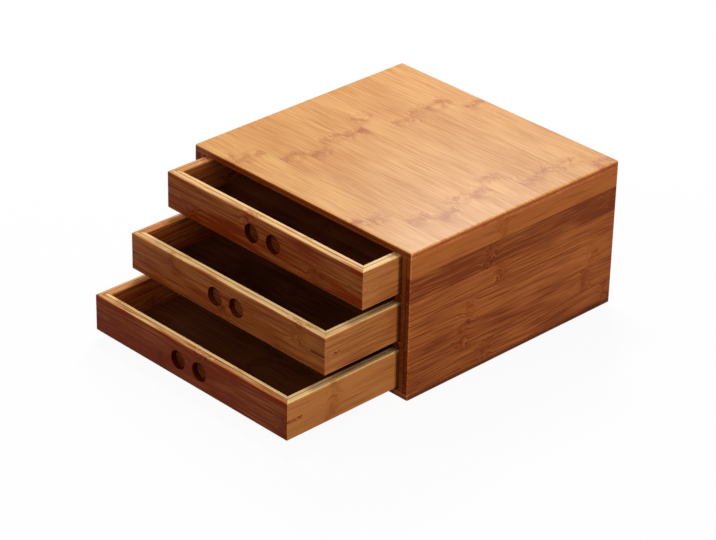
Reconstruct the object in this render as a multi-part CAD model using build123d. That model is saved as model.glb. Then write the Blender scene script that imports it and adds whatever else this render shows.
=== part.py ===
"""Desktop drawer box in carbonised bamboo: an open-fronted case and three mitred tray drawers.

Millimetres. X runs across the front, +Y from the front to the back, +Z up. The origin is the middle of
the base panel's underside. The drawers stand open in steps, the top one least and the bottom one most.
"""
from build123d import *
import os

# Case
CASE_WIDTH = 260.0
CASE_DEPTH = 246.0
CASE_HEIGHT = 137.0
TOP_THICKNESS = 6.0
BASE_THICKNESS = 5.5
SIDE_THICKNESS = 10.0
BACK_THICKNESS = 5.0
BACK_LET_IN = 4.0  # how far each vertical edge of the back panel is let into its side panel

# Tongues along the side panels' top and bottom edges, glued into grooves that stop short of the front
TONGUE_THICKNESS = 4.0
TONGUE_HEIGHT = 2.0
TONGUE_FRONT_STOP = 14.0
TONGUE_REAR_STOP = 8.0

# Rounded edges of the case
UPRIGHT_EDGE_RADIUS = 1.6
TOP_EDGE_RADIUS = 1.2
FOOT_EDGE_RADIUS = 3.0
FRONT_EDGE_RADIUS = 1.0  # the arrises round the open front

# Drawers
DRAWER_SIDE_PLAY = 4.0  # side panel to side panel, less the drawer's own width
DRAWER_OFF_CENTRE = -1.5  # the drawers hang towards the left of their play
DRAWER_REAR_GAP = 0.5  # left behind a closed drawer
RUNNING_GAP = 0.3  # under a drawer, over what carries it
DRAWER_HEIGHT = 35.5
DRAWER_PITCH = 44.0
WALL_THICKNESS = 10.0
WALL_TOP_RADIUS = 2.5
WALL_FOOT_RADIUS = 3.0
CORNER_RADIUS = 1.5
FLOOR_THICKNESS = 3.0
FLOOR_HEIGHT = 3.5  # from the walls' bottom edge to the floor's underside
FLOOR_LET_IN = 3.0
FLOOR_GROOVE_SLACK = 0.2  # groove depth past the floor's edge
KEY_LEG = 16.5  # how far a corner key shows along each of its two walls
KEY_THICKNESS = 3.2

# Finger recesses, a pair in each drawer front
RECESS_DIAMETER = 17.0
RECESS_DEPTH = 6.0
RECESS_SPACING = 26.0
RECESS_LIP_RADIUS = 0.7

# Runners that carry the two upper drawers
RUNNER_WIDTH = 10.0
RUNNER_HEIGHT = 7.3
RUNNER_FRONT_STOP = 2.0
RUNNER_NOSE_RADIUS = 2.0

# Drawer names from the bottom up, each with how far it stands open
DRAWERS = [("bottom_drawer", 120.0), ("middle_drawer", 80.0), ("top_drawer", 40.0)]

# Worked out from the dimensions above
FRONT_Y = -CASE_DEPTH / 2
REAR_Y = CASE_DEPTH / 2
UNDER_TOP = CASE_HEIGHT - TOP_THICKNESS
OPENING_WIDTH = CASE_WIDTH - 2 * SIDE_THICKNESS
DRAWER_WIDTH = OPENING_WIDTH - DRAWER_SIDE_PLAY
DRAWER_LENGTH = CASE_DEPTH - BACK_THICKNESS - DRAWER_REAR_GAP
FIRST_DRAWER_Z = BASE_THICKNESS + RUNNING_GAP


def block(x, y, z):
    """A box from three (low, high) pairs."""
    size = [high - low for low, high in (x, y, z)]
    middle = [(low + high) / 2 for low, high in (x, y, z)]
    return Pos(*middle) * Box(*size)


def save(name, shape):
    shape.label = name
    export_step(shape, f"parts/{name}.step")


def upright_outline(width):
    """The case's outline seen from the front or the side, with rounded feet and eased top edges."""
    outline = Pos(0, CASE_HEIGHT / 2) * Rectangle(width, CASE_HEIGHT)
    outline = fillet(outline.vertices().sort_by(Axis.Y)[:2], FOOT_EDGE_RADIUS)
    return fillet(outline.vertices().sort_by(Axis.Y)[-2:], TOP_EDGE_RADIUS)


def case_envelope():
    """The case's whole outer form, with its rounded edges, which trims every outer panel."""
    seen_from_front = extrude(Plane.XZ * upright_outline(CASE_WIDTH), amount=CASE_DEPTH, both=True)
    seen_from_side = extrude(Plane.YZ * upright_outline(CASE_DEPTH), amount=CASE_WIDTH, both=True)
    plan = RectangleRounded(CASE_WIDTH, CASE_DEPTH, UPRIGHT_EDGE_RADIUS)
    return seen_from_front & seen_from_side & extrude(plan, amount=CASE_HEIGHT)


def tongue(side, z_low, z_high):
    """One side panel's tongue. side is -1 for the left panel and 1 for the right."""
    middle = side * (CASE_WIDTH - SIDE_THICKNESS) / 2
    return block(
        (middle - TONGUE_THICKNESS / 2, middle + TONGUE_THICKNESS / 2),
        (FRONT_Y + TONGUE_FRONT_STOP, REAR_Y - TONGUE_REAR_STOP),
        (z_low, z_high),
    )


def top_panel(envelope):
    panel = envelope & block(
        (-CASE_WIDTH / 2, CASE_WIDTH / 2), (FRONT_Y, REAR_Y), (UNDER_TOP, CASE_HEIGHT)
    )
    front_arris = panel.edges().filter_by(Axis.X).group_by(Axis.Z)[0].sort_by(Axis.Y)[0]
    panel = fillet(front_arris, FRONT_EDGE_RADIUS)
    for side in (-1, 1):
        panel -= tongue(side, UNDER_TOP, UNDER_TOP + TONGUE_HEIGHT)
    return panel


def base_panel(envelope):
    panel = envelope & block(
        (-CASE_WIDTH / 2, CASE_WIDTH / 2), (FRONT_Y, REAR_Y), (0, BASE_THICKNESS)
    )
    for side in (-1, 1):
        panel -= tongue(side, BASE_THICKNESS - TONGUE_HEIGHT, BASE_THICKNESS)
    return panel


def side_panel(envelope, side):
    """side is -1 for the left panel and 1 for the right."""
    outer = side * CASE_WIDTH / 2
    inner = side * OPENING_WIDTH / 2
    x_range = (min(inner, outer), max(inner, outer))
    board = block(x_range, (FRONT_Y, REAR_Y), (BASE_THICKNESS, UNDER_TOP))
    front_edges = board.edges().filter_by(Axis.Z).group_by(Axis.Y)[0]
    inner_arris = front_edges.sort_by(Axis.X)[0 if side > 0 else -1]
    board = fillet(inner_arris, FRONT_EDGE_RADIUS) & envelope
    rabbet_end = inner + side * BACK_LET_IN
    board -= block(
        (min(inner, rabbet_end), max(inner, rabbet_end)),
        (REAR_Y - BACK_THICKNESS, REAR_Y),
        (BASE_THICKNESS, UNDER_TOP),
    )
    board += tongue(side, BASE_THICKNESS - TONGUE_HEIGHT, BASE_THICKNESS)
    board += tongue(side, UNDER_TOP, UNDER_TOP + TONGUE_HEIGHT)
    return board


def back_panel():
    half_width = OPENING_WIDTH / 2 + BACK_LET_IN
    return block((-half_width, half_width), (REAR_Y - BACK_THICKNESS, REAR_Y), (BASE_THICKNESS, UNDER_TOP))


def runner(side, drawer_z):
    """A strip on a side panel's inner face, under the drawer whose underside is at drawer_z."""
    wall = side * OPENING_WIDTH / 2
    free_edge = wall - side * RUNNER_WIDTH
    top = drawer_z - RUNNING_GAP
    strip = block(
        (min(wall, free_edge), max(wall, free_edge)),
        (FRONT_Y + RUNNER_FRONT_STOP, REAR_Y - BACK_THICKNESS),
        (top - RUNNER_HEIGHT, top),
    )
    nose = strip.edges().filter_by(Axis.X).group_by(Axis.Y)[0].sort_by(Axis.Z)[-1]
    return fillet(nose, RUNNER_NOSE_RADIUS)


def wall_section():
    """A drawer wall's section: X is the depth in from the outer face, Y the height."""
    section = Pos(WALL_THICKNESS / 2, DRAWER_HEIGHT / 2) * Rectangle(WALL_THICKNESS, DRAWER_HEIGHT)
    section = fillet(section.vertices().sort_by(Axis.Y)[-2:], WALL_TOP_RADIUS)
    outer_foot = section.vertices().group_by(Axis.Y)[0].sort_by(Axis.X)[0]
    section = fillet(outer_foot, WALL_FOOT_RADIUS)
    groove_depth = FLOOR_LET_IN + FLOOR_GROOVE_SLACK
    groove = Rectangle(groove_depth, FLOOR_THICKNESS, align=(Align.MAX, Align.MIN))
    return section - Pos(WALL_THICKNESS, FLOOR_HEIGHT) * groove


def key_blank(width, length):
    """One corner key, at the front right corner of a drawer whose front face is at y = 0."""
    corner = width / 2
    outline = Polygon((corner, 0), (corner, KEY_LEG), (corner - KEY_LEG, 0), align=None)
    key_z = (DRAWER_HEIGHT - KEY_THICKNESS) / 2
    key = Pos(0, 0, key_z) * extrude(outline, amount=KEY_THICKNESS)
    return key & corner_prism(width, length)


def corner_prism(width, length):
    """The rounded plan of a drawer, or of a square behind one wall, as a tall prism."""
    plan = Pos(0, length / 2) * RectangleRounded(width, length, CORNER_RADIUS)
    return extrude(plan, amount=DRAWER_HEIGHT)


def mitred_wall(length):
    """A drawer wall along X with its outer face at y = 0, mitred at both ends and slotted for keys."""
    half = length / 2
    section_plane = Plane(origin=(-half, 0, 0), x_dir=(0, 1, 0), z_dir=(1, 0, 0))
    wall = extrude(section_plane * wall_section(), amount=length)
    mitres = Polygon(
        (-half, 0),
        (half, 0),
        (half - WALL_THICKNESS, WALL_THICKNESS),
        (-half + WALL_THICKNESS, WALL_THICKNESS),
        align=None,
    )
    wall = wall & extrude(mitres, amount=DRAWER_HEIGHT) & corner_prism(length, length)
    right_key = key_blank(length, length)
    return wall - right_key - mirror(right_key, about=Plane.YZ)


def drawer_front():
    """The front wall, with its two blind finger recesses."""
    front = mitred_wall(DRAWER_WIDTH)
    radius = RECESS_DIAMETER / 2
    for x in (-RECESS_SPACING / 2, RECESS_SPACING / 2):
        mouth = Plane(origin=(x, 0, DRAWER_HEIGHT / 2), z_dir=(0, 1, 0))
        front -= extrude(mouth * Circle(radius), amount=RECESS_DEPTH)
    rims = front.edges().filter_by(GeomType.CIRCLE).filter_by(lambda edge: abs(edge.radius - radius) < 0.01)
    return fillet(rims, RECESS_LIP_RADIUS)


def drawer_floor():
    let_in = 2 * (FLOOR_LET_IN - WALL_THICKNESS)
    return block(
        (-(DRAWER_WIDTH + let_in) / 2, (DRAWER_WIDTH + let_in) / 2),
        (WALL_THICKNESS - FLOOR_LET_IN, DRAWER_LENGTH - WALL_THICKNESS + FLOOR_LET_IN),
        (FLOOR_HEIGHT, FLOOR_HEIGHT + FLOOR_THICKNESS),
    )


def drawer_keys():
    """The four corner keys of one drawer, as separate solids."""
    front_right = key_blank(DRAWER_WIDTH, DRAWER_LENGTH)
    front_left = mirror(front_right, about=Plane.YZ)
    middle = Plane(origin=(0, DRAWER_LENGTH / 2, 0), z_dir=(0, 1, 0))
    back = [mirror(key, about=middle) for key in (front_right, front_left)]
    return [front_right, front_left, *back]


def drawer_pieces():
    """Every piece of one drawer, its front face at y = 0 and its bottom edge at z = 0."""
    half_width = DRAWER_WIDTH / 2
    half_length = DRAWER_LENGTH / 2
    side = mitred_wall(DRAWER_LENGTH)
    return {
        "front": [drawer_front()],
        "back": [Pos(0, DRAWER_LENGTH, 0) * Rot(0, 0, 180) * mitred_wall(DRAWER_WIDTH)],
        "left_side": [Pos(-half_width, half_length, 0) * Rot(0, 0, -90) * side],
        "right_side": [Pos(half_width, half_length, 0) * Rot(0, 0, 90) * side],
        "floor": [drawer_floor()],
        "corner_keys": drawer_keys(),
    }


def build_case():
    envelope = case_envelope()
    save("case_top_panel", top_panel(envelope))
    save("case_base_panel", base_panel(envelope))
    save("case_left_side", side_panel(envelope, -1))
    save("case_right_side", side_panel(envelope, 1))
    save("case_back_panel", back_panel())
    for level, tier in enumerate(("lower", "upper"), start=1):
        drawer_z = FIRST_DRAWER_Z + level * DRAWER_PITCH
        save(f"{tier}_left_runner", runner(-1, drawer_z))
        save(f"{tier}_right_runner", runner(1, drawer_z))


def build_drawers():
    pieces = drawer_pieces()
    for level, (drawer, opening) in enumerate(DRAWERS):
        place = Pos(DRAWER_OFF_CENTRE, FRONT_Y - opening, FIRST_DRAWER_Z + level * DRAWER_PITCH)
        for piece, solids in pieces.items():
            moved = [place * solid for solid in solids]
            save(f"{drawer}_{piece}", moved[0] if len(moved) == 1 else Compound(children=moved))


os.makedirs("parts", exist_ok=True)
build_case()
build_drawers()
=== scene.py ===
import math

import bmesh
import bpy
from mathutils import Euler, Matrix, Vector


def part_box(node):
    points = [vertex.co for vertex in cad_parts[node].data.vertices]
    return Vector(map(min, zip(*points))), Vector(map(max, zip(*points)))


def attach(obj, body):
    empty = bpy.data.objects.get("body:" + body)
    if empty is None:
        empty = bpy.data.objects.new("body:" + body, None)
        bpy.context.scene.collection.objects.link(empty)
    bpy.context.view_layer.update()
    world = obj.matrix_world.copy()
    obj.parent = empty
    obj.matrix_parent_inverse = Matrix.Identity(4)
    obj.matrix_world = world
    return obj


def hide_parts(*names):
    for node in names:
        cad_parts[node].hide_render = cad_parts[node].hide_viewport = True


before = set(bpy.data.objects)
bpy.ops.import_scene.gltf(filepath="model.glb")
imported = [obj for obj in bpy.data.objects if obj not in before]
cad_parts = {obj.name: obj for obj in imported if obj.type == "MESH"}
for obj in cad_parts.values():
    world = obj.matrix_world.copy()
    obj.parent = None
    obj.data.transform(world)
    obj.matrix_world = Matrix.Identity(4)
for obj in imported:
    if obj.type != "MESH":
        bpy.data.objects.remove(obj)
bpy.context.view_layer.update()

# A desktop box of carbonised bamboo: an open-fronted case on which three tray drawers slide. Metres, in the
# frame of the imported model: X across the front, +Y from the front to the back, +Z up.

bl_info = {
    "name": "Bamboo Drawer Box",
    "version": (1, 0, 0),
    "blender": (4, 5, 0),
    "location": "3D View > Sidebar > Drawer Box",
    "description": "Boards, drawers, finger recesses and mitre keys of a desktop drawer box",
    "category": "Add Mesh",
}

MM = 0.001
CLOSE = 0.01 * MM  # two places nearer than this are the same place
HAIRLINE = 0.15 * MM  # how far an arris is broken where two boards meet
FLOOR_DROP = 0.2 * MM  # keeps the floor clear of the face that rests on it
FLOOR_HALF = 6.0  # from the middle of the floor to its edge
DRAWERS = ("top_drawer", "middle_drawer", "bottom_drawer")
TIERS = ("lower", "upper")

CASE_LOW, CASE_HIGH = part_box("case_base_panel")[0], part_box("case_top_panel")[1]
TOP_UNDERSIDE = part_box("case_top_panel")[0].z
BASE_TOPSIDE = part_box("case_base_panel")[1].z
SIDE_THICKNESS = CASE_HIGH.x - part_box("case_right_side")[0].x
BACK_LOW, BACK_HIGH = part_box("case_back_panel")
WALL_LOW, WALL_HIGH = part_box("top_drawer_front")
FLOOR_LOW, FLOOR_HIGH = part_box("top_drawer_floor")
KEYS_LOW, KEYS_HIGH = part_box("top_drawer_corner_keys")


def linear(hex_colour):
    """An sRGB colour such as "C98B50" as the linear red, green and blue that shaders take."""
    parts = [int(hex_colour[i : i + 2], 16) / 255 for i in (0, 2, 4)]
    return tuple(c / 12.92 if c <= 0.04045 else ((c + 0.055) / 1.055) ** 2.4 for c in parts)


# ---------------------------------------------------------------------------------------------------------
# What a user would change


def length_property(name, description, default):
    return bpy.props.FloatProperty(
        name=name, description=description, default=default, min=0.0, unit="LENGTH", subtype="DISTANCE"
    )


def colour_property(name, description, default):
    return bpy.props.FloatVectorProperty(
        name=name, description=description, default=linear(default), min=0.0, max=1.0, subtype="COLOR"
    )


def power_property(name, description, default):
    return bpy.props.FloatProperty(name=name, description=description, default=default, min=0.0, unit="POWER")


class CaseSizes(bpy.types.PropertyGroup):
    corner_radius: length_property("Upright edges", "Rounding of the case's upright outer edges", 1.6 * MM)
    top_radius: length_property("Top edges", "Rounding round the top board's upper face", 1.6 * MM)
    foot_radius: length_property("Foot edges", "Rounding round the base board's lower face", 3.0 * MM)
    front_radius: length_property("Front arrises", "Rounding of the edges round the open front", 1.0 * MM)
    tongue_width: length_property("Tongue", "Thickness of the tongues on the side boards", 4.0 * MM)
    tongue_height: length_property("Tongue height", "How far a tongue enters the top or the base", 2.0 * MM)
    tongue_front: length_property("Tongue stop, front", "From the case's front to the tongues", 14.0 * MM)
    tongue_rear: length_property("Tongue stop, rear", "From the tongues to the case's back", 8.0 * MM)


class DrawerSizes(bpy.types.PropertyGroup):
    rim_radius: length_property("Rim", "Rounding of both top edges of a drawer wall", 2.5 * MM)
    foot_radius: length_property("Foot", "Rounding of the outer bottom edge of a drawer wall", 3.0 * MM)
    corner_radius: length_property("Corners", "Rounding of a drawer's upright corners", 1.5 * MM)
    key_leg: length_property("Corner key", "How far a key shows along each of its two walls", 16.5 * MM)
    key_gap: length_property("Key gap", "Glue line round a key", 0.06 * MM)
    groove_slack: length_property("Groove slack", "Groove depth past the floor's edge", 0.2 * MM)
    recess_radius: length_property("Finger recess", "Radius of the finger recesses", 8.5 * MM)
    recess_depth: length_property("Recess depth", "Depth of the finger recesses", 6.0 * MM)
    recess_spacing: length_property("Recess spacing", "Between the middles of the two recesses", 26.0 * MM)
    recess_lip: length_property("Recess lip", "Rounding at the mouth of a recess", 0.7 * MM)
    recess_root: length_property("Recess root", "Rounding where a recess's wall meets its floor", 0.5 * MM)


class BambooColours(bpy.types.PropertyGroup):
    # The top's colours are painted paler, and the side boards' deeper and redder, than one wood would be:
    # painted light on the top, which the overhead light falls on, and painted shade on the upright faces. The
    # top-edge colour is painted shade on the top's front and back edges.
    top_lit_pale: colour_property("Top, pale", "Palest fibres of the top board", "E9AD65")
    top_lit_deep: colour_property("Top, deep", "Deepest fibres of the top board", "C7803A")
    top_edge_shade: colour_property("Top, front edge", "Fibres on the top board's front edge", "90441B")
    side_shaded_pale: colour_property("Sides, pale", "Palest fibres of the case's side boards", "B4652F")
    side_shaded_deep: colour_property("Sides, deep", "Deepest fibres of the case's side boards", "7B3615")
    wall_pale: colour_property("Drawer walls, pale", "Palest fibres of the drawer walls", "BE783E")
    wall_deep: colour_property("Drawer walls, deep", "Deepest fibres of the drawer walls", "7D2B08")
    key_deep: colour_property("Corner keys, deep", "Deepest fibres of the corner keys", "511C06")
    # Painted shade: the drawer floors are darker than the walls' wood, for the dark inside of the drawers
    floor_shaded_pale: colour_property("Drawer floors, pale", "Palest fibres of the drawer floors", "793F22")
    floor_shaded_deep: colour_property("Drawer floors, deep", "Deepest fibres of the drawer floors", "3B190B")
    # Painted light on the drawers' rims, pale for the overhead light on them. The fronts and right walls take
    # the first colour, which the right walls' high tone turns to its palest, cream, a painted sheen. The left
    # and rear rims, which the sheen misses, take the warmer one.
    rim_pale: colour_property("Rims, pale", "Palest fibres of the drawers' rims", "FCCF90")
    rim_light_warm: colour_property("Left and rear rims, pale", "Palest fibres of the rims left and rear", "E0A066")
    rim_deep: colour_property("Rims, deep", "Deepest fibres of the drawers' rims", "AF5F28")
    knuckle: colour_property("Knuckles", "What a knuckle's stain lets through", "CA8C20")
    glue: colour_property("Glue lines", "What a glue line lets through", "A87C58")
    top_end: colour_property("Top, sawn ends", "What the top board's sawn ends let through", "DEAA8A")
    # On the walls' sawn ends this is their real darker end grain, and in the bored recesses it is painted
    # shade
    recess: colour_property("Recesses", "What the bored recesses let through", "A4897C")
    end: colour_property("Sawn ends", "What the sawn ends of other boards let through", "BCAEA2")


class StudioLight(bpy.types.PropertyGroup):
    key_power: power_property("Key", "Power of the light overhead", 17.4)
    sheen_power: power_property("Sheen", "Power of the light behind, which the top board mirrors", 15.0)
    side_power: power_property("Side", "Power of the soft light on the right", 18.3)
    front_power: power_property("Front", "Power of the soft light in front", 11.0)
    sky: bpy.props.FloatProperty(
        name="Sky", description="Strength of the even light from all round", default=0.13, min=0.0
    )


class BoxSettings(bpy.types.PropertyGroup):
    case: bpy.props.PointerProperty(type=CaseSizes)
    drawer: bpy.props.PointerProperty(type=DrawerSizes)
    colours: bpy.props.PointerProperty(type=BambooColours)
    light: bpy.props.PointerProperty(type=StudioLight)


# ---------------------------------------------------------------------------------------------------------
# Mesh tools


def edges_at(bm, **place):
    """Edges with both ends at the given coordinates, such as x=0.13, z=0.137."""
    wanted = [("xyz".index(axis), value) for axis, value in place.items()]
    return [e for e in bm.edges if all(abs(v.co[i] - value) < CLOSE for v in e.verts for i, value in wanted)]


def faces_at(bm, **place):
    """Faces with every corner at the given coordinates, such as z=0.137."""
    wanted = [("xyz".index(axis), value) for axis, value in place.items()]
    return [f for f in bm.faces if all(abs(v.co[i] - value) < CLOSE for v in f.verts for i, value in wanted)]


def round_over(bm, edges, radius, segments=4):
    if edges:
        bmesh.ops.bevel(
            bm, geom=edges, offset=radius, offset_type="OFFSET", affect="EDGES",
            segments=segments, profile=0.5, material=-1, clamp_overlap=True,
        )


def score(bm, faces, point, normal):
    """Draws an edge line where a plane crosses the faces, and takes nothing away."""
    edges = {e for f in faces for e in f.edges}
    corners = {v for f in faces for v in f.verts}
    bmesh.ops.bisect_plane(
        bm, geom=[*corners, *edges, *faces], dist=CLOSE / 10, plane_co=point, plane_no=normal
    )


def saw(bm, point, normal):
    """Cuts away what lies on the normal's side of a plane, and closes the cut."""
    cut = bmesh.ops.bisect_plane(
        bm, geom=[*bm.verts, *bm.edges, *bm.faces], dist=CLOSE / 10,
        plane_co=point, plane_no=normal, clear_outer=True,
    )
    rim = [e for e in cut["geom_cut"] if isinstance(e, bmesh.types.BMEdge)]
    bmesh.ops.edgeloop_fill(bm, edges=rim)
    return rim


def prism(outline, rise):
    """A solid from a flat outline of points, run along rise."""
    bm = bmesh.new()
    face = bm.faces.new([bm.verts.new(point) for point in outline])
    run = bmesh.ops.extrude_face_region(bm, geom=[face], use_keep_orig=True)
    bmesh.ops.translate(bm, vec=rise, verts=[v for v in run["geom"] if isinstance(v, bmesh.types.BMVert)])
    bmesh.ops.recalc_face_normals(bm, faces=bm.faces)
    return bm


def step_face(bm, level, x_range, y_range, rise):
    """Raises a rectangle of the flat face at z = level by rise, or sinks it where rise is negative."""
    for x in x_range:
        score(bm, faces_at(bm, z=level), (x, 0, 0), (1, 0, 0))
    for y in y_range:
        score(bm, faces_at(bm, z=level), (0, y, 0), (0, 1, 0))
    inside = [
        f
        for f in faces_at(bm, z=level)
        if x_range[0] < f.calc_center_median().x < x_range[1]
        and y_range[0] < f.calc_center_median().y < y_range[1]
    ]
    run = bmesh.ops.extrude_face_region(bm, geom=inside)
    moved = [v for v in run["geom"] if isinstance(v, bmesh.types.BMVert)]
    bmesh.ops.translate(bm, vec=(0, 0, rise), verts=moved)
    bmesh.ops.delete(bm, geom=inside, context="FACES")


def piece_from(bm, name, body, node, material):
    """Makes the finished mesh a piece that stands for its CAD node and rides on its body."""
    bmesh.ops.remove_doubles(bm, verts=bm.verts, dist=CLOSE / 10)
    bmesh.ops.recalc_face_normals(bm, faces=bm.faces)
    mesh = bpy.data.meshes.new(name)
    bm.to_mesh(mesh)
    bm.free()
    mesh.shade_smooth()
    mesh.set_sharp_from_angle(angle=math.radians(35))
    mesh.materials.append(material)
    piece = bpy.data.objects.new(name, mesh)
    bpy.context.scene.collection.objects.link(piece)
    even = piece.modifiers.new("Even shading", "WEIGHTED_NORMAL")
    even.keep_sharp = True
    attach(piece, body)
    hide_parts(node)
    return piece


# ---------------------------------------------------------------------------------------------------------
# Materials


def add(tree, kind, inputs=None, **settings):
    """Adds a node with its settings, and gives its inputs a value or a link each.

    Returns its output, or all outputs where it has several. A colour Mix node's two colours are its inputs
    6 and 7.
    """
    node = tree.nodes.new("ShaderNode" + kind)
    for name, value in settings.items():
        setattr(node, name, value)
    for key, value in (inputs or {}).items():
        if isinstance(value, bpy.types.NodeSocket):
            tree.links.new(value, node.inputs[key])
        else:
            node.inputs[key].default_value = value
    shown = [output for output in node.outputs if output.enabled]
    return shown[0] if len(shown) == 1 else node.outputs


# Which way a board lies: the turn that brings its fibres to X and the width of its strips to Y
FLAT_ALONG_X = Euler((0, 0, 0))
UPRIGHT_ALONG_X = Euler((-math.pi / 2, 0, 0))
UPRIGHT_ALONG_Y = Euler((-math.pi / 2, -math.pi / 2, 0))

# Sizes in the grain, in millimetres along, across and through a board
FIBRES = (45.0, 1.5, 1.5)  # single fibres are finer, and are drawn this coarse so that they show
STREAKS = (85.0, 4.0, 4.0)
CLOUDS = (60.0, 30.0, 30.0)  # patches that took the steaming a little differently
DRIFTS = (110.0, 30.0, 30.0)  # how soon the fibres change their slant
SWIRLS = (11.0, 8.0, 8.0)  # eddies of the fibres round a knuckle
WANDERS = (50.0, 9.0, 9.0)  # how soon a knuckle's line bends
PATCHES = (8.0, 5.0, 5.0)  # blotches in a knuckle's stain
CORE = (24.0, 12.0, 1.0)  # half the middle part of a board, which no outer edge reaches. Depth stays as it is

# Pores in a millimetre along, across and through. On a sawn end they are dots, drawn coarse enough to show
PORES = (0.05, 0.9, 0.9)

# Millimetres along a cane
KNUCKLE_SPACING = 150.0
KNUCKLE_LINE = 2.4  # from the middle of a knuckle's line to where it fades out
STAIN_BEFORE, STAIN_AFTER = 9.0, 17.0  # how far a knuckle's stain reaches each way
SWIRL_REACH = 15.0
CANE_APART = 900.0  # two strips side by side come from places up to this far apart on a cane

# Millimetres of relief
FIBRE_RELIEF, STREAK_RELIEF, KNUCKLE_RELIEF, GLUE_RELIEF = 0.010, 0.012, 0.03, -0.02

ARRIS_HIGHLIGHT = 0.4  # painted highlight: how much paler a rounded arris is painted than the faces beside it
PALEST = (0.95, 0.95, 0.95)  # no wood gives back more light than this


def bamboo_pattern():
    """The grain of board glued up from strips of cane, in millimetres on the board.

    Strips differ in tone. Each has fine fibres along it, and a knuckle every hand's breadth: a thin brown
    line across the strip in a blotchy stain. Sawn ends drink more lacquer, so they go dark and show the
    fibres as dots. Bored recesses are painted dark as well, a painted shade. The drawers' rims are painted
    pale, as the light and sheen on them, and the top board's front and back edges dark, as shade. Rounded
    arrises get a painted highlight.
    """
    tree = bpy.data.node_groups.new("Bamboo strips", "ShaderNodeTree")
    for name, kind, default in (
        ("Turn", "NodeSocketVector", (0, 0, 0)),
        ("Slide", "NodeSocketVector", (0, 0, 0)),
        ("Seed", "NodeSocketFloat", 0.0),
        ("Strip width", "NodeSocketFloat", 22.0),
        ("Ply", "NodeSocketFloat", 6.5),
        ("Knuckle place", "NodeSocketFloat", 0.0),
        ("Knuckle spread", "NodeSocketFloat", 100.0),
        ("Knuckle depth", "NodeSocketFloat", 0.7),
        ("Tone", "NodeSocketFloat", 0.5),
        ("Inner tone", "NodeSocketFloat", 0.0),
        ("Strip contrast", "NodeSocketFloat", 0.5),
        ("Fibre contrast", "NodeSocketFloat", 0.5),
        ("Edge fade", "NodeSocketFloat", 0.0),
        ("Heart", "NodeSocketFloat", 0.0),
        ("Pale", "NodeSocketColor", (1, 1, 1, 1)),
        ("Deep", "NodeSocketColor", (0, 0, 0, 1)),
        ("Knuckle", "NodeSocketColor", (1, 1, 1, 1)),
        ("Glue", "NodeSocketColor", (1, 1, 1, 1)),
        ("Rim pale", "NodeSocketColor", (1, 1, 1, 1)),
        ("Rim deep", "NodeSocketColor", (0, 0, 0, 1)),
        ("End", "NodeSocketColor", (1, 1, 1, 1)),
    ):
        tree.interface.new_socket(name, in_out="INPUT", socket_type=kind).default_value = default
    results = (("Colour", "NodeSocketColor"), ("Roughness", "NodeSocketFloat"), ("Height", "NodeSocketFloat"))
    for name, kind in results:
        tree.interface.new_socket(name, in_out="OUTPUT", socket_type=kind)

    given = tree.nodes.new("NodeGroupInput").outputs
    place = add(tree, "TexCoord")
    to_board = {"Rotation": given["Turn"], "Location": given["Slide"], "Scale": (1 / MM, 1 / MM, 1 / MM)}
    board = add(tree, "Mapping", {"Vector": place["Object"], **to_board})
    along, across, through = add(tree, "SeparateXYZ", {0: board})
    facing = add(
        tree, "Mapping", {"Vector": place["Normal"], "Rotation": given["Turn"]}, vector_type="VECTOR"
    )
    facing = add(tree, "VectorMath", {0: facing}, operation="ABSOLUTE")
    end, edge, face = add(tree, "SeparateXYZ", {0: facing})

    # Slow changes over the board: each swings as far both ways, in patches of its own size
    swings = []
    for size, detail, low, most in (
        (WANDERS, 3.0, 0.3, 3.5),
        (DRIFTS, 1.0, 0.25, 1.6),
        (SWIRLS, 1.0, 0.3, 4.5),
        (CLOUDS, 1.0, 0.3, 0.5),
    ):
        at = add(tree, "VectorMath", {0: board, 1: size}, operation="DIVIDE")
        noise = add(tree, "TexNoise", {"Vector": at, "Scale": 1.0, "Detail": detail})["Fac"]
        swings.append(add(tree, "MapRange", {0: noise, 1: low, 2: 1 - low, 3: -most, 4: most}))
    wander, drift, swirl, cloud = swings

    # Strips side by side, and plies one on the other
    strips = add(tree, "Math", {0: across, 1: given["Strip width"]}, operation="DIVIDE")
    plies = add(tree, "Math", {0: through, 1: given["Ply"]}, operation="DIVIDE")
    strip = add(tree, "Math", {0: strips}, operation="FLOOR")
    ply = add(tree, "Math", {0: plies}, operation="FLOOR")
    cane = add(tree, "CombineXYZ", {0: strip, 1: ply, 2: given["Seed"]})
    chance = add(tree, "TexWhiteNoise", {"Vector": cane}, noise_dimensions="3D")
    shift, lag, shade = add(tree, "SeparateColor", {0: chance["Color"]})

    # Millimetres past the nearest knuckle, which wanders a little across its strip
    lag = add(tree, "Math", {0: lag, 1: 0.5}, operation="SUBTRACT")
    lag = add(
        tree, "Math", {0: lag, 1: given["Knuckle spread"], 2: given["Knuckle place"]},
        operation="MULTIPLY_ADD",
    )
    turns = add(tree, "Math", {0: along, 1: lag}, operation="SUBTRACT")
    turns = add(tree, "Math", {0: turns, 1: KNUCKLE_SPACING}, operation="DIVIDE")
    nearest = add(tree, "Math", {0: turns}, operation="ROUND")
    off = add(tree, "Math", {0: turns, 1: nearest}, operation="SUBTRACT")
    off = add(tree, "Math", {0: off, 1: KNUCKLE_SPACING, 2: wander}, operation="MULTIPLY_ADD")
    distance = add(tree, "Math", {0: off}, operation="ABSOLUTE")

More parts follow.
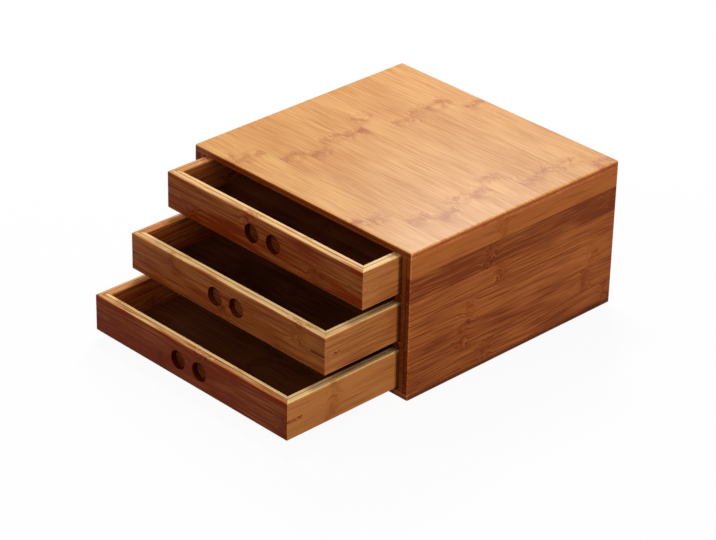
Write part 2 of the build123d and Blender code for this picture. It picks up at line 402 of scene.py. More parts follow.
    # Fibres drift a little across the strip, and swirl round a knuckle
    near = add(
        tree, "MapRange", {0: distance, 1: 2.0, 2: SWIRL_REACH, 3: 1.0, 4: 0.0},
        interpolation_type="SMOOTHSTEP",
    )
    drift = add(tree, "Math", {0: near, 1: swirl, 2: drift}, operation="MULTIPLY_ADD")
    cane_along = add(tree, "Math", {0: shift, 1: CANE_APART, 2: along}, operation="MULTIPLY_ADD")
    cane_across = add(tree, "Math", {0: across, 1: drift}, operation="ADD")
    cane_place = add(tree, "CombineXYZ", {0: cane_along, 1: cane_across, 2: through})

    # Fine fibres and broader streaks, which follow the drift
    runs = []
    for size, grit, low, most in ((FIBRES, 0.6, 0.3, 0.6), (STREAKS, 0.5, 0.28, 0.5)):
        at = add(tree, "VectorMath", {0: cane_place, 1: size}, operation="DIVIDE")
        noise = add(tree, "TexNoise", {"Vector": at, "Scale": 1.0, "Detail": 2.0, "Roughness": grit})["Fac"]
        runs.append(add(tree, "MapRange", {0: noise, 1: low, 2: 1 - low, 3: -most, 4: most}))
    fibre, streak = runs

    # Tone from deep, 0, to pale, 1. Inner plies may differ from outer ones
    figure = add(tree, "Math", {0: shade, 1: 0.5}, operation="SUBTRACT")
    figure = add(tree, "Math", {0: figure, 1: given["Strip contrast"]}, operation="MULTIPLY")
    grain = add(tree, "Math", {0: streak, 1: 0.35, 2: fibre}, operation="MULTIPLY_ADD")
    figure = add(tree, "Math", {0: grain, 1: given["Fibre contrast"], 2: figure}, operation="MULTIPLY_ADD")
    figure = add(tree, "Math", {0: cloud, 1: 0.3, 2: figure}, operation="MULTIPLY_ADD")
    inward = add(tree, "Math", {0: -0.5, 1: ply}, operation="SUBTRACT")
    figure = add(tree, "Math", {0: inward, 1: given["Inner tone"], 2: figure}, operation="MULTIPLY_ADD")
    tone = add(tree, "Math", {0: figure, 1: given["Tone"]}, operation="ADD")
    colour = add(
        tree, "Mix", {0: tone, 6: given["Deep"], 7: given["Pale"]}, data_type="RGBA", clamp_factor=True
    )

    # The middle part of the board, which holds the bored recesses and no outer edge
    from_middle = add(tree, "VectorMath", {0: board}, operation="ABSOLUTE")
    from_middle = add(tree, "VectorMath", {0: from_middle, 1: CORE}, operation="DIVIDE")
    past_length, past_width, depth = add(tree, "SeparateXYZ", {0: from_middle})
    outer = add(tree, "Math", {0: past_length, 1: past_width}, operation="MAXIMUM")
    outer = add(tree, "Math", {0: outer, 1: 1.0}, operation="GREATER_THAN")

    # Painted light and shade on the faces along the strips' width: the drawers' rims are painted pale for the
    # light and sheen on them, and the top board's front and back edges dark for their shade
    facing_across = add(tree, "MapRange", {0: edge, 1: 0.6, 2: 0.94}, interpolation_type="SMOOTHSTEP")
    painted_edge_mix = add(tree, "Math", {0: facing_across, 1: outer}, operation="MULTIPLY")
    painted_edge_mix = add(tree, "Math", {0: painted_edge_mix, 1: given["Edge fade"]}, operation="MULTIPLY")
    # The rims are painted paler the higher the board's tone, so the right walls' rims carry the painted sheen
    rim = add(tree, "Math", {0: given["Tone"], 1: 1.1, 2: 0.36}, operation="MULTIPLY_ADD")
    rim = add(tree, "Math", {0: figure, 1: 1.5, 2: rim}, operation="MULTIPLY_ADD")
    rim = add(
        tree, "Mix", {0: rim, 6: given["Rim deep"], 7: given["Rim pale"]}, data_type="RGBA", clamp_factor=True
    )
    colour = add(tree, "Mix", {0: painted_edge_mix, 6: colour, 7: rim}, data_type="RGBA")

    # Painted highlight on rounded arrises, standing in for the lacquer's glint there
    flat = add(tree, "Math", {0: end, 1: edge}, operation="MAXIMUM")
    flat = add(tree, "Math", {0: flat, 1: face}, operation="MAXIMUM")
    arris_highlight = add(tree, "MapRange", {0: flat, 1: 0.8, 2: 0.97, 3: 1.0, 4: 0.0}, interpolation_type="SMOOTHSTEP")
    arris_highlight = add(tree, "Math", {0: arris_highlight, 1: outer}, operation="MULTIPLY")
    arris_highlight = add(tree, "Math", {0: arris_highlight, 1: ARRIS_HIGHLIGHT, 2: 1.0}, operation="MULTIPLY_ADD")
    colour = add(tree, "VectorMath", {0: colour, "Scale": arris_highlight}, operation="SCALE")
    colour = add(tree, "VectorMath", {0: colour, 1: PALEST}, operation="MINIMUM")

    # A knuckle's line and its stain
    patch_at = add(tree, "VectorMath", {0: cane_place, 1: PATCHES}, operation="DIVIDE")
    patch = add(tree, "TexNoise", {"Vector": patch_at, "Scale": 1.0, "Detail": 3.0})["Fac"]
    patch = add(tree, "MapRange", {0: patch, 1: 0.36, 2: 0.62})
    line = add(
        tree, "MapRange", {0: distance, 1: 0.2, 2: KNUCKLE_LINE, 3: 1.0, 4: 0.0},
        interpolation_type="SMOOTHSTEP",
    )
    broken = add(tree, "MapRange", {0: patch, 3: 0.2, 4: 0.75})
    line = add(tree, "Math", {0: line, 1: broken}, operation="MULTIPLY")
    rise = add(tree, "MapRange", {0: off, 1: -STAIN_BEFORE, 2: 0.0}, interpolation_type="SMOOTHSTEP")
    fall = add(
        tree, "MapRange", {0: off, 1: 1.0, 2: STAIN_AFTER, 3: 1.0, 4: 0.0}, interpolation_type="SMOOTHSTEP"
    )
    stain = add(tree, "Math", {0: rise, 1: fall}, operation="MULTIPLY")
    stain = add(tree, "Math", {0: stain, 1: patch}, operation="MULTIPLY")
    stain = add(tree, "Math", {0: stain, 1: 0.75}, operation="MULTIPLY")
    stain = add(tree, "Math", {0: line, 1: stain}, operation="MAXIMUM")
    stain = add(tree, "Math", {0: stain, 1: given["Knuckle depth"]}, operation="MULTIPLY")
    colour = add(
        tree, "Mix", {0: stain, 6: colour, 7: given["Knuckle"]}, data_type="RGBA", blend_type="MULTIPLY"
    )

    # Glue lines between strips and between plies
    from_strip = add(tree, "Math", {0: strips, 1: 0.5}, operation="PINGPONG")
    from_strip = add(tree, "Math", {0: from_strip, 1: given["Strip width"]}, operation="MULTIPLY")
    from_ply = add(tree, "Math", {0: plies, 1: 0.5}, operation="PINGPONG")
    from_ply = add(tree, "Math", {0: from_ply, 1: given["Ply"]}, operation="MULTIPLY")
    strip_glue = add(tree, "MapRange", {0: from_strip, 1: 0.05, 2: 0.4, 3: 0.35, 4: 0.0})
    ply_glue = add(tree, "MapRange", {0: from_ply, 1: 0.15, 2: 0.6, 3: 1.0, 4: 0.0})
    glue = add(tree, "Math", {0: strip_glue, 1: ply_glue}, operation="MAXIMUM")
    colour = add(tree, "Mix", {0: glue, 6: colour, 7: given["Glue"]}, data_type="RGBA", blend_type="MULTIPLY")

    # Sawn ends, and bored recesses painted dark as shade
    end = add(tree, "MapRange", {0: end, 1: 0.85, 2: 0.99}, interpolation_type="SMOOTHSTEP")
    sunk = add(tree, "Math", {0: depth, 1: given["Heart"]}, operation="LESS_THAN")
    bored = add(tree, "Math", {0: sunk, 1: outer}, operation="GREATER_THAN")
    cut = add(tree, "Math", {0: end, 1: bored}, operation="MAXIMUM")
    dots_at = add(tree, "VectorMath", {0: board, 1: PORES}, operation="MULTIPLY")
    dots = add(tree, "TexVoronoi", {"Vector": dots_at, "Scale": 1.0, "Randomness": 0.9})["Distance"]
    dots = add(tree, "MapRange", {0: dots, 1: 0.15, 2: 0.5, 3: 0.82, 4: 1.08})
    drunk = add(tree, "VectorMath", {0: given["End"], "Scale": dots}, operation="SCALE")
    colour = add(tree, "Mix", {0: cut, 6: colour, 7: drunk}, data_type="RGBA", blend_type="MULTIPLY")

    # Height in millimetres: fibres and knuckles stand a little, and glue lines sink
    height = add(tree, "Math", {0: fibre, 1: FIBRE_RELIEF}, operation="MULTIPLY")
    height = add(tree, "Math", {0: streak, 1: STREAK_RELIEF, 2: height}, operation="MULTIPLY_ADD")
    height = add(tree, "Math", {0: glue, 1: GLUE_RELIEF, 2: height}, operation="MULTIPLY_ADD")
    height = add(tree, "Math", {0: line, 1: KNUCKLE_RELIEF, 2: height}, operation="MULTIPLY_ADD")

    # Pale fibres are a little smoother, and sawn ends rougher
    rough = add(tree, "Math", {0: fibre, 1: -0.10, 2: 0.42}, operation="MULTIPLY_ADD")
    rough = add(tree, "Math", {0: cut, 1: 0.12, 2: rough}, operation="MULTIPLY_ADD")

    wanted = tree.nodes.new("NodeGroupOutput")
    for name, value in (("Colour", colour), ("Roughness", rough), ("Height", height)):
        tree.links.new(value, wanted.inputs[name])
    return tree


def bamboo(name, box, lay, pale, deep, seed, gloss=0.1, strip_edge=0.0, **grain):
    """Carbonised bamboo board under satin lacquer.

    Steaming turns the cane toffee brown all through. The lacquer is sprayed and rubbed down, so it gives
    broad soft highlights that follow the rounded edges, and the fibres still break them up. On the rounded
    arrises the pattern paints a highlight as well. The gloss is the lacquer's, and the wood under it has next
    to none. The seed draws each strip's tone and the place of its knuckles, and strip_edge slides the strips
    across the board, in millimetres. Seeds above 10,000 were found by a program that tried many, for strips
    and knuckles that lie as in the photograph.
    """
    colours = bpy.context.scene.drawer_box.colours
    pattern = bpy.data.node_groups.get("Bamboo strips") or bamboo_pattern()
    material = bpy.data.materials.new(name)
    material.use_nodes = True
    tree = material.node_tree
    tree.nodes.clear()
    middle = lay.to_matrix() @ ((box[0] + box[1]) / 2 / MM)
    middle.y += strip_edge
    wood = tree.nodes.new("ShaderNodeGroup")
    wood.node_tree = pattern
    values = {
        "Turn": lay,
        "Slide": -middle,
        "Seed": seed,
        "Pale": (*pale, 1),
        "Deep": (*deep, 1),
        "Knuckle": (*colours.knuckle, 1),
        "Glue": (*colours.glue, 1),
        "Rim pale": (*colours.rim_pale, 1),
        "Rim deep": (*colours.rim_deep, 1),
        "End": (*colours.end, 1),
        **{key.capitalize().replace("_", " "): value for key, value in grain.items()},
    }
    for key, value in values.items():
        wood.inputs[key].default_value = value
    bump = add(tree, "Bump", {"Height": wood.outputs["Height"], "Distance": MM, "Strength": 1.0})
    lacquer = add(
        tree, "BsdfPrincipled",
        {
            "Base Color": wood.outputs["Colour"],
            "Roughness": wood.outputs["Roughness"],
            "Normal": bump,
            "IOR": 1.5,
            "Specular IOR Level": 0.03,
            "Coat Weight": gloss,
            "Coat Roughness": 0.25,
            "Coat IOR": 1.5,
        },
    )
    add(tree, "OutputMaterial", {"Surface": lacquer})
    return material


# ---------------------------------------------------------------------------------------------------------
# Case


def whole_board(low, high):
    """A plain board between two corners, still with sharp edges."""
    bm = bmesh.new()
    matrix = Matrix.Translation((low + high) / 2) @ Matrix.Diagonal((*(high - low), 1))
    bmesh.ops.create_cube(bm, size=1.0, matrix=matrix)
    return bm


def tongue_box(sizes, side):
    """Where one side board's tongues lie in plan. side is -1 for the left board and 1 for the right."""
    middle = side * (CASE_HIGH.x - SIDE_THICKNESS / 2)
    x_range = (middle - sizes.tongue_width / 2, middle + sizes.tongue_width / 2)
    return x_range, (CASE_LOW.y + sizes.tongue_front, CASE_HIGH.y - sizes.tongue_rear)


def upright_corners(bm):
    corners = [(x, y) for x in (CASE_LOW.x, CASE_HIGH.x) for y in (CASE_LOW.y, CASE_HIGH.y)]
    return [e for x, y in corners for e in edges_at(bm, x=x, y=y)]


def top_board(sizes):
    bm = whole_board(Vector((CASE_LOW.x, CASE_LOW.y, TOP_UNDERSIDE)), CASE_HIGH)
    round_over(bm, upright_corners(bm), sizes.corner_radius, 5)
    round_over(bm, edges_at(bm, z=CASE_HIGH.z), sizes.top_radius, 5)
    front = edges_at(bm, z=TOP_UNDERSIDE, y=CASE_LOW.y)
    rest = [e for e in edges_at(bm, z=TOP_UNDERSIDE) if e not in front]
    round_over(bm, rest, HAIRLINE, 1)
    round_over(bm, edges_at(bm, z=TOP_UNDERSIDE, y=CASE_LOW.y), sizes.front_radius, 4)
    for side in (-1, 1):
        step_face(bm, TOP_UNDERSIDE, *tongue_box(sizes, side), sizes.tongue_height)
    return bm


def base_board(sizes):
    bm = whole_board(CASE_LOW, Vector((CASE_HIGH.x, CASE_HIGH.y, BASE_TOPSIDE)))
    round_over(bm, upright_corners(bm), sizes.corner_radius, 5)
    round_over(bm, edges_at(bm, z=CASE_LOW.z), sizes.foot_radius, 7)
    round_over(bm, edges_at(bm, z=BASE_TOPSIDE), HAIRLINE, 1)
    for side in (-1, 1):
        step_face(bm, BASE_TOPSIDE, *tongue_box(sizes, side), -sizes.tongue_height)
    return bm


def side_board(sizes, side):
    """side is -1 for the left board and 1 for the right. A rabbet at the rear takes the back panel."""
    outer = CASE_HIGH.x
    inner = outer - SIDE_THICKNESS
    plan = [
        (inner, CASE_LOW.y), (outer, CASE_LOW.y), (outer, CASE_HIGH.y),
        (BACK_HIGH.x, CASE_HIGH.y), (BACK_HIGH.x, BACK_LOW.y), (inner, BACK_LOW.y),
    ]
    bm = prism([(side * x, y, BASE_TOPSIDE) for x, y in plan], (0, 0, TOP_UNDERSIDE - BASE_TOPSIDE))
    outer_arrises = edges_at(bm, x=side * outer, y=CASE_LOW.y) + edges_at(bm, x=side * outer, y=CASE_HIGH.y)
    round_over(bm, outer_arrises, sizes.corner_radius, 5)
    round_over(bm, edges_at(bm, x=side * inner, y=CASE_LOW.y), sizes.front_radius, 4)
    for level, rise in ((TOP_UNDERSIDE, sizes.tongue_height), (BASE_TOPSIDE, -sizes.tongue_height)):
        ring = edges_at(bm, z=level)
        outward = [e for e in ring if any(abs(v.co.x) >= inner + CLOSE for v in e.verts)]
        round_over(bm, outward, HAIRLINE, 1)
        step_face(bm, level, *tongue_box(sizes, side), rise)
    return bm


class DRAWERBOX_OT_case(bpy.types.Operator):
    """Makes the case's top, base and side boards, and finishes the back panel"""

    bl_idname = "drawer_box.case"
    bl_label = "Case boards"

    def execute(self, context):
        settings = context.scene.drawer_box
        sizes, colours = settings.case, settings.colours
        # The top board's face takes the paler top colours, painted light, and its front and back edges the
        # dark top-edge colour, painted shade
        top = bamboo(
            "Top board bamboo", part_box("case_top_panel"), FLAT_ALONG_X,
            colours.top_lit_pale, colours.top_lit_deep, 14459591, gloss=0.28, strip_edge=5.3, strip_width=23.6,
            knuckle_place=-57.0, knuckle_spread=66.0, knuckle_depth=0.9,
            strip_contrast=0.25, fibre_contrast=0.8, edge_fade=1.0,
            rim_pale=(*colours.top_edge_shade, 1), rim_deep=(*colours.side_shaded_deep, 1), end=(*colours.top_end, 1),
        )
        piece_from(top_board(sizes), "top_board", "case", "case_top_panel", top)
        base = bamboo(
            "Base board bamboo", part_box("case_base_panel"), FLAT_ALONG_X,
            colours.side_shaded_pale, colours.side_shaded_deep, 8, strip_width=22.0, ply=6.0,
        )
        piece_from(base_board(sizes), "base_board", "case", "case_base_panel", base)
        for side, word, seed in ((-1, "left", 4), (1, "right", 9068385)):
            node = f"case_{word}_side"
            wood = bamboo(
                f"{word.capitalize()} side bamboo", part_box(node), UPRIGHT_ALONG_Y,
                colours.side_shaded_pale, colours.side_shaded_deep, seed, gloss=0.03, strip_width=22.2, strip_edge=0.4,
                knuckle_place=-40.0, knuckle_spread=110.0, strip_contrast=1.0, fibre_contrast=0.9,
                inner_tone=0.4 * side, tone=0.7,
            )
            piece_from(side_board(sizes, side), f"{word}_side_board", "case", node, wood)
        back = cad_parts["case_back_panel"]
        back.data.materials[0] = bamboo(
            "Back panel bamboo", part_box("case_back_panel"), UPRIGHT_ALONG_X,
            colours.side_shaded_pale, colours.side_shaded_deep, 11, strip_width=22.0, ply=6.0,
            strip_contrast=0.6, fibre_contrast=0.6,
        )
        return {"FINISHED"}


class DRAWERBOX_OT_runners(bpy.types.Operator):
    """Finishes the four runner strips that carry the two upper drawers"""

    bl_idname = "drawer_box.runners"
    bl_label = "Runners"

    def execute(self, context):
        colours = context.scene.drawer_box.colours
        for number, tier in enumerate(TIERS):
            for side in ("left", "right"):
                node = f"{tier}_{side}_runner"
                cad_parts[node].data.materials[0] = bamboo(
                    f"{tier.capitalize()} {side} runner bamboo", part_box(node), UPRIGHT_ALONG_Y,
                    colours.wall_pale, colours.wall_deep, 20 + number, strip_width=12.0, strip_edge=5.0,
                )
        return {"FINISHED"}


# ---------------------------------------------------------------------------------------------------------
# Drawers


def drawer_corners(drawer):
    """Lowest and highest corner of a drawer's walls."""
    boxes = [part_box(f"{drawer}_{wall}") for wall in ("front", "back", "left_side", "right_side")]
    low = Vector(min(box[0][i] for box in boxes) for i in range(3))
    high = Vector(max(box[1][i] for box in boxes) for i in range(3))
    return low, high


WALL_THICKNESS = WALL_HIGH.y - WALL_LOW.y
WALL_HEIGHT = WALL_HIGH.z - WALL_LOW.z
FLOOR_BOTTOM = FLOOR_LOW.z - WALL_LOW.z
FLOOR_TOP = FLOOR_HIGH.z - WALL_LOW.z
GROOVE_DEPTH = WALL_HIGH.y - FLOOR_LOW.y  # to the edge of the floor
KEY_BOTTOM = KEYS_LOW.z - WALL_LOW.z
KEY_TOP = KEYS_HIGH.z - WALL_LOW.z


def shape_corner(bm, half, sizes, end):
    """Rounds this wall's half of the upright corner at one end, by a fan of cuts that touch its arc."""
    centre = Vector((end * (half - sizes.corner_radius), sizes.corner_radius, 0))
    cuts = 4
    for number in range(cuts):
        angle = math.radians(45) * (number + 0.5) / cuts
        normal = Vector((end * math.sin(angle), -math.cos(angle), 0))
        saw(bm, centre + normal * sizes.corner_radius, normal)


def mitre(bm, half, sizes, end):
    """Rounds the corner at one end, and cuts the end at 45 degrees to meet the next wall."""
    shape_corner(bm, half, sizes, end)
    rim = saw(bm, (end * half, 0, 0), (end, 1, 0))
    round_over(bm, [e for e in rim if e.is_valid], HAIRLINE, 1)


def key_slot(bm, half, sizes, end):
    """Opens the half of a corner key's slot that lies in this wall."""
    leg = sizes.key_leg + sizes.key_gap
    low, high = KEY_BOTTOM - sizes.key_gap, KEY_TOP + sizes.key_gap
    inland = half - 2 * leg
    score(bm, bm.faces, (end * inland, 0, 0), (1, 0, 0))
    slope = Vector((end, -1, 0)).normalized()
    slope_point = Vector((end * (half - leg), 0, 0))
    for point, normal in (((0, 0, low), (0, 0, 1)), ((0, 0, high), (0, 0, 1)), (slope_point, slope)):
        near_end = [f for f in bm.faces if end * f.calc_center_median().x > inland]
        score(bm, near_end, point, normal)
    mouth = [
        f
        for f in bm.faces
        if low < f.calc_center_median().z < high and (f.calc_center_median() - slope_point).dot(slope) > CLOSE
    ]
    bmesh.ops.delete(bm, geom=mouth, context="FACES")
    open_edges = [e for e in bm.edges if e.is_boundary]
    for level in (low, high):
        ring = [e for e in open_edges if all(abs(v.co.z - level) < CLOSE for v in e.verts)]
        corners = {v for e in ring for v in e.verts}
        nearest = sorted(corners, key=lambda v: abs((v.co - slope_point).dot(slope)))[:2]
        base = bmesh.ops.contextual_create(bm, geom=nearest)["edges"]
        bmesh.ops.contextual_create(bm, geom=ring + base)
    slope_edges = [e for e in bm.edges if e.is_boundary]
    bmesh.ops.contextual_create(bm, geom=slope_edges)


def finger_recess(bm, sizes, x):
    """Turns a blind recess round its axis, and returns the ring of edges at its mouth."""
    radius, depth = sizes.recess_radius, sizes.recess_depth
    axis = Vector((x, 0, WALL_HEIGHT / 2))
    profile = [(radius + sizes.recess_lip, 0), (radius, 0), (radius, depth), (0, depth)]
    points = [bm.verts.new(axis + Vector((r, y, 0))) for r, y in profile]
    for pair in zip(points, points[1:]):
        bm.edges.new(pair)
    lip = sizes.recess_lip * 0.999  # a bevel can't take the whole edge, and the sliver left is merged below
    for corner, amount in ((points[1], lip), (points[2], sizes.recess_root)):
        bmesh.ops.bevel(
            bm, geom=[corner], offset=amount, offset_type="OFFSET", affect="VERTICES",
            segments=5, profile=0.5, material=-1, clamp_overlap=False,
        )
    outline = [e for e in bm.edges if e.is_wire]
    ends = {v for e in outline for v in e.verts}
    bmesh.ops.spin(
        bm, geom=[*outline, *ends], cent=axis, axis=(0, 1, 0), angle=2 * math.pi, steps=56, use_merge=True
    )
    bmesh.ops.remove_doubles(bm, verts=bm.verts, dist=CLOSE / 10)
    reach = radius + sizes.recess_lip
    mouth = {v for v in bm.verts if abs(v.co.y) < CLOSE and abs((v.co - axis).length - reach) < CLOSE}
    return [e for e in bm.edges if e.is_boundary and mouth.issuperset(e.verts)]


def wall(sizes, length, recesses=False):
    """A drawer wall along X with its outer face at y = 0, its foot at z = 0 and its middle at x = 0."""
    half = length / 2
    inner = WALL_THICKNESS
    groove = inner - GROOVE_DEPTH - sizes.groove_slack
    section = [
        (0, 0), (0, WALL_HEIGHT), (inner, WALL_HEIGHT), (inner, FLOOR_TOP),
        (groove, FLOOR_TOP), (groove, FLOOR_BOTTOM), (inner, FLOOR_BOTTOM), (inner, 0),
    ]
    bm = prism([(-half, y, z) for y, z in section], (length, 0, 0))
    rims = edges_at(bm, y=0, z=WALL_HEIGHT) + edges_at(bm, y=inner, z=WALL_HEIGHT)
    round_over(bm, rims, sizes.rim_radius, 7)
    round_over(bm, edges_at(bm, y=0, z=0), sizes.foot_radius, 7)
    round_over(bm, edges_at(bm, y=inner, z=0), HAIRLINE, 1)
    if recesses:
        outer_face = faces_at(bm, y=0)[0]
        border = list(outer_face.edges)
        bmesh.ops.delete(bm, geom=[outer_face], context="FACES_ONLY")
        for x in (-sizes.recess_spacing / 2, sizes.recess_spacing / 2):
            border += finger_recess(bm, sizes, x)
        border = [e for e in border if e.is_valid]
        bmesh.ops.triangle_fill(bm, use_beauty=True, edges=border, normal=(0, -1, 0))
    for end in (-1, 1):
        mitre(bm, half, sizes, end)
        key_slot(bm, half, sizes, end)
    return bm


def place_wall(bm, low, high, side):
    """Moves a wall from its own frame to its side of the drawer."""
    middle = (low + high) / 2
    turn, x, y = {
        "front": (0, middle.x, low.y),
        "back": (180, middle.x, high.y),
        "left_side": (-90, low.x, middle.y),
        "right_side": (90, high.x, middle.y),
    }[side]
    matrix = Matrix.Translation((x, y, low.z)) @ Matrix.Rotation(math.radians(turn), 4, "Z")
    bmesh.ops.transform(bm, matrix=matrix, verts=bm.verts)
    return bm


# Seed and mean tone of the boards for the fronts and the right walls. A program found the seeds, as bamboo
# says. The tones are partly the boards' own difference and partly painted light: the fronts are darker, as
# painted shade, and the right walls paler, as painted light, which also makes their rims the palest, a
# painted sheen. The other walls share a common tone, with warmer rims and plies more alike
WALL_SEEDS_AND_PAINTED_TONES = {
    "top_drawer_front": (44624, 0.37),
    "middle_drawer_front": (272885, 0.56),
    "bottom_drawer_front": (336574, 0.20),
    "top_drawer_right_side": (294222, 1.02),
    "middle_drawer_right_side": (459154, 0.86),
    "bottom_drawer_right_side": (12405, 1.17),
}
COMMON_TONE = 0.35
WALL_SHADED_HEART = 4.6  # mm either side of a wall's middle, inside both of its faces, where its recesses are bored and painted dark as shade


class DRAWERBOX_OT_drawer_walls(bpy.types.Operator):
    """Makes the four mitred walls of each drawer, with finger recesses in the fronts"""

    bl_idname = "drawer_box.drawer_walls"
    bl_label = "Drawer walls"

    def execute(self, context):
        settings = context.scene.drawer_box
        sizes, colours = settings.drawer, settings.colours
        for number, drawer in enumerate(DRAWERS):
            low, high = drawer_corners(drawer)
            for place, side in enumerate(("front", "back", "left_side", "right_side")):
                node = f"{drawer}_{side}"
                across = side in ("front", "back")
                length = high.x - low.x if across else high.y - low.y
                bm = place_wall(wall(sizes, length, recesses=side == "front"), low, high, side)
                has_painted_tone = node in WALL_SEEDS_AND_PAINTED_TONES
                seed, tone = WALL_SEEDS_AND_PAINTED_TONES.get(node, (30 + 4 * number + place, COMMON_TONE))
                # The rim colours are painted light, and the recess colour is painted shade in the bored
                # recesses
                rim = colours.rim_pale if has_painted_tone else colours.rim_light_warm
                wood = bamboo(
                    f"{drawer} {side} bamboo".replace("_", " "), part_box(node),
                    UPRIGHT_ALONG_X if across else UPRIGHT_ALONG_Y,
                    colours.wall_pale, colours.wall_deep, seed, gloss=0.04, strip_width=22.0, strip_edge=-1.2,
                    knuckle_spread=150.0, strip_contrast=0.28, fibre_contrast=0.6, edge_fade=1.0,
                    tone=tone, inner_tone=0.4 if has_painted_tone else 0.2,
                    heart=WALL_SHADED_HEART, end=(*colours.recess, 1), rim_pale=(*rim, 1),
                )
                piece_from(bm, f"{node}_wall", drawer, node, wood)
        return {"FINISHED"}


class DRAWERBOX_OT_drawer_floors(bpy.types.Operator):
    """Finishes the thin floors that lie in the grooves of the drawer walls"""

    bl_idname = "drawer_box.drawer_floors"
    bl_label = "Drawer floors"

    def execute(self, context):
        colours = context.scene.drawer_box.colours
        for number, drawer in enumerate(DRAWERS):
            node = f"{drawer}_floor"
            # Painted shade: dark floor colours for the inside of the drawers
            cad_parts[node].data.materials[0] = bamboo(
                f"{drawer} floor bamboo".replace("_", " "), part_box(node), FLAT_ALONG_X,
                colours.floor_shaded_pale, colours.floor_shaded_deep, 50 + number, gloss=0.0, strip_width=20.0, ply=4.0,
            )
        return {"FINISHED"}


def corner_key(sizes, width):
    """The key at the front right corner of a drawer whose front face is at y = 0 and foot at z = 0.

    Its point follows the drawer's rounded corner, a hair under flush.
    """
    corner = width / 2
    outline = [(corner, 0), (corner, sizes.key_leg), (corner - sizes.key_leg, 0)]
    bm = prism([(x, y, KEY_BOTTOM) for x, y in outline], (0, 0, KEY_TOP - KEY_BOTTOM))
    radius = sizes.corner_radius
    centre = Vector((corner - radius, radius, 0))
    cuts = 8
    for number in range(-1, cuts + 1):
        angle = math.radians(90) * min(max((number + 0.5) / cuts, 0), 1)
        normal = Vector((math.sin(angle), -math.cos(angle), 0))
        saw(bm, centre + normal * (radius - sizes.key_gap), normal)
    return bm


# Mean tone of each drawer's keys, and how bright their sawn ends are beside their faces. The fibres run
# across the drawer, so a key shows its face on a front wall and its sawn end on a side wall
KEY_WOOD = {"top_drawer": (0.32, 1.7), "middle_drawer": (0.26, 1.75), "bottom_drawer": (0.05, 2.5)}


class DRAWERBOX_OT_corner_keys(bpy.types.Operator):
    """Makes the keys that are let into the mitred corners of each drawer"""

    bl_idname = "drawer_box.corner_keys"
    bl_label = "Corner keys"

    def execute(self, context):
        settings = context.scene.drawer_box
        sizes, colours = settings.drawer, settings.colours
        for number, drawer in enumerate(DRAWERS):
            low, high = drawer_corners(drawer)
            node = f"{drawer}_corner_keys"
            tone, end = KEY_WOOD[drawer]
            bm = corner_key(sizes, high.x - low.x)
            middle = Matrix.Translation((0, (low.y - high.y) / 2, 0))
            for axis, matrix in (("X", Matrix()), ("Y", middle)):
                keys = [*bm.verts, *bm.edges, *bm.faces]
                bmesh.ops.mirror(bm, geom=keys, matrix=matrix, axis=axis, merge_dist=0)
            bmesh.ops.translate(bm, vec=((low.x + high.x) / 2, low.y, low.z), verts=bm.verts)
            wood = bamboo(
                f"{drawer} key bamboo".replace("_", " "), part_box(node), UPRIGHT_ALONG_X,
                colours.wall_pale, colours.key_deep, 60 + number, strip_width=8.0, strip_edge=4.0, ply=600.0,
                tone=tone, end=(end, end, end, 1),
            )
            piece_from(bm, f"{drawer}_keys", drawer, node, wood)
        return {"FINISHED"}


# ---------------------------------------------------------------------------------------------------------
# Stage

VIEW_AZIMUTH = math.radians(45.49)  # how far round to the right of the front the photograph was taken
VIEW_ELEVATION = math.radians(29.03)
VIEW_ROLL = math.radians(1.31)
VIEW_DISTANCE = 2.431
VIEW_TARGET = Vector((0.01211, -0.06598, 0.05275))
VIEW_LENS = 145.45  # mm on a sensor 36 mm wide
LIGHT_TARGET = Vector((0, 0, 0.07))
PAPER_SEEN = (0.95, 0.95, 0.95, 1)
PAPER_BOUNCE = (0.30, 0.30, 0.30, 1)  # what the paper throws back on the box
PAPER_GLOW = 0.94  # share of the seen paper that is white whatever the light. The rest keeps the shadow


def aim(thing, azimuth, elevation, distance, target, roll=0.0):
    """Puts a lamp or camera at an angle round the target, and points it there."""
    level = math.cos(elevation)
    back = Vector((math.sin(azimuth) * level, -math.cos(azimuth) * level, math.sin(elevation)))
    right = Vector((math.cos(azimuth), math.sin(azimuth), 0))
    turn = Matrix((right, back.cross(right), back)).transposed() @ Matrix.Rotation(roll, 3, "Z")
    thing.matrix_world = Matrix.Translation(target + back * distance) @ turn.to_4x4()
    bpy.context.scene.collection.objects.link(thing)


def soft_light(name, power, size, azimuth, elevation, distance):
    """A square lamp with the given side, and angles in degrees."""
    lamp = bpy.data.lights.new(name, "AREA")
    lamp.shape = "SQUARE"
    lamp.size = size
    lamp.energy = power
    thing = bpy.data.objects.new(name, lamp)
    aim(thing, math.radians(azimuth), math.radians(elevation), distance, LIGHT_TARGET)


def seen_directly(tree):
    """1 for what the camera sees, straight or in a gloss or through glass, and 0 for light that bounces."""
    rays = add(tree, "LightPath")
    seen = add(tree, "Math", {0: rays["Is Camera Ray"], 1: rays["Is Glossy Ray"]}, operation="MAXIMUM")
    return add(tree, "Math", {0: seen, 1: rays["Is Transmission Ray"]}, operation="MAXIMUM")


def paper_floor():
    """Seamless white studio paper. It shows white and keeps a faint shadow, and throws little light back."""
    material = bpy.data.materials.new("White paper")
    material.use_nodes = True
    tree = material.node_tree
    tree.nodes.clear()
    seen = seen_directly(tree)
    colour = add(tree, "Mix", {0: seen, 6: PAPER_BOUNCE, 7: PAPER_SEEN}, data_type="RGBA")
    paper = add(tree, "BsdfDiffuse", {"Color": colour})
    glow = add(tree, "Emission", {"Color": (1, 1, 1, 1), "Strength": 1.0})
    share = add(tree, "Math", {0: seen, 1: PAPER_GLOW}, operation="MULTIPLY")
    shown = add(tree, "MixShader", {0: share, 1: paper, 2: glow})
    add(tree, "OutputMaterial", {"Surface": shown})
    return material


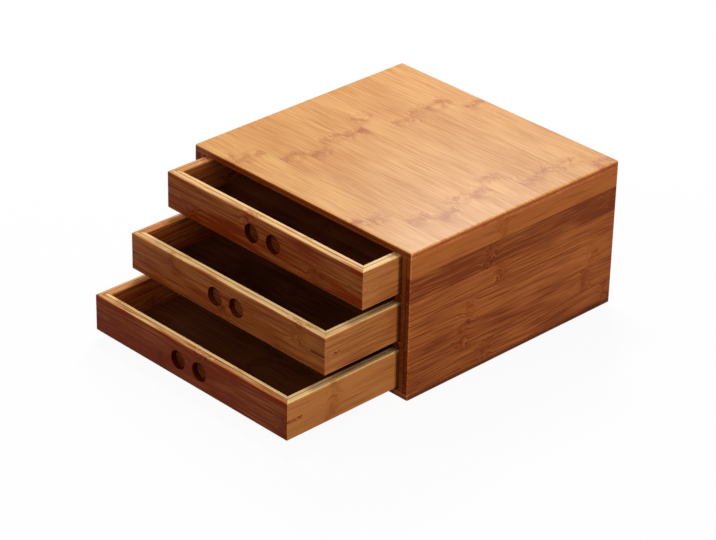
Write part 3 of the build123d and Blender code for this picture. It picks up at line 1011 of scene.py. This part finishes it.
class DRAWERBOX_OT_stage(bpy.types.Operator):
    """Sets up the floor, the lights, the sky and the camera"""

    bl_idname = "drawer_box.stage"
    bl_label = "Stage"

    def execute(self, context):
        light = context.scene.drawer_box.light
        bm = bmesh.new()
        bmesh.ops.create_grid(bm, x_segments=2, y_segments=2, size=FLOOR_HALF)
        bmesh.ops.translate(bm, vec=(0, 0, CASE_LOW.z - FLOOR_DROP), verts=bm.verts)
        mesh = bpy.data.meshes.new("paper_floor")
        bm.to_mesh(mesh)
        bm.free()
        mesh.materials.append(paper_floor())
        floor = bpy.data.objects.new("paper_floor", mesh)
        context.scene.collection.objects.link(floor)

        soft_light("Key light", light.key_power, size=0.4, azimuth=245, elevation=66, distance=2.0)
        soft_light("Sheen light", light.sheen_power, size=0.3, azimuth=219, elevation=41, distance=1.83)
        soft_light("Side light", light.side_power, size=0.5, azimuth=89, elevation=5, distance=2.0)
        soft_light("Front light", light.front_power, size=1.2, azimuth=5, elevation=30, distance=2.0)

        world = bpy.data.worlds.new("Studio")
        world.use_nodes = True
        tree = world.node_tree
        tree.nodes.clear()
        level = add(tree, "MapRange", {0: seen_directly(tree), 3: light.sky, 4: 1.0})
        sky = add(tree, "Background", {"Color": (1, 1, 1, 1), "Strength": level})
        add(tree, "OutputWorld", {"Surface": sky})
        context.scene.world = world

        camera = bpy.data.objects.new("Camera", bpy.data.cameras.new("Camera"))
        camera.data.lens = VIEW_LENS
        camera.data.sensor_width = 36.0
        aim(camera, VIEW_AZIMUTH, VIEW_ELEVATION, VIEW_DISTANCE, VIEW_TARGET, VIEW_ROLL)
        context.scene.camera = camera
        context.scene.view_settings.view_transform = "Standard"
        return {"FINISHED"}


# ---------------------------------------------------------------------------------------------------------
# Panel and registration

STEPS = ("case", "runners", "drawer_walls", "drawer_floors", "corner_keys", "stage")


class DRAWERBOX_PT_panel(bpy.types.Panel):
    """Lists the box's sizes and colours and the steps that make it"""

    bl_idname = "DRAWERBOX_PT_panel"
    bl_label = "Drawer Box"
    bl_space_type = "VIEW_3D"
    bl_region_type = "UI"
    bl_category = "Drawer Box"

    def draw(self, context):
        for step in STEPS:
            self.layout.operator(f"drawer_box.{step}")
        for group in ("case", "drawer", "colours", "light"):
            settings = getattr(context.scene.drawer_box, group)
            column = self.layout.box().column()
            for name in settings.__annotations__:
                column.prop(settings, name)


CLASSES = (
    CaseSizes,
    DrawerSizes,
    BambooColours,
    StudioLight,
    BoxSettings,
    DRAWERBOX_OT_case,
    DRAWERBOX_OT_runners,
    DRAWERBOX_OT_drawer_walls,
    DRAWERBOX_OT_drawer_floors,
    DRAWERBOX_OT_corner_keys,
    DRAWERBOX_OT_stage,
    DRAWERBOX_PT_panel,
)


def register():
    for cls in CLASSES:
        bpy.utils.register_class(cls)
    bpy.types.Scene.drawer_box = bpy.props.PointerProperty(type=BoxSettings)


def unregister():
    del bpy.types.Scene.drawer_box
    for cls in reversed(CLASSES):
        bpy.utils.unregister_class(cls)


def main():
    register()
    for step in STEPS:
        getattr(bpy.ops.drawer_box, step)()
    bpy.context.view_layer.update()


if __name__ == "__main__":
    main()
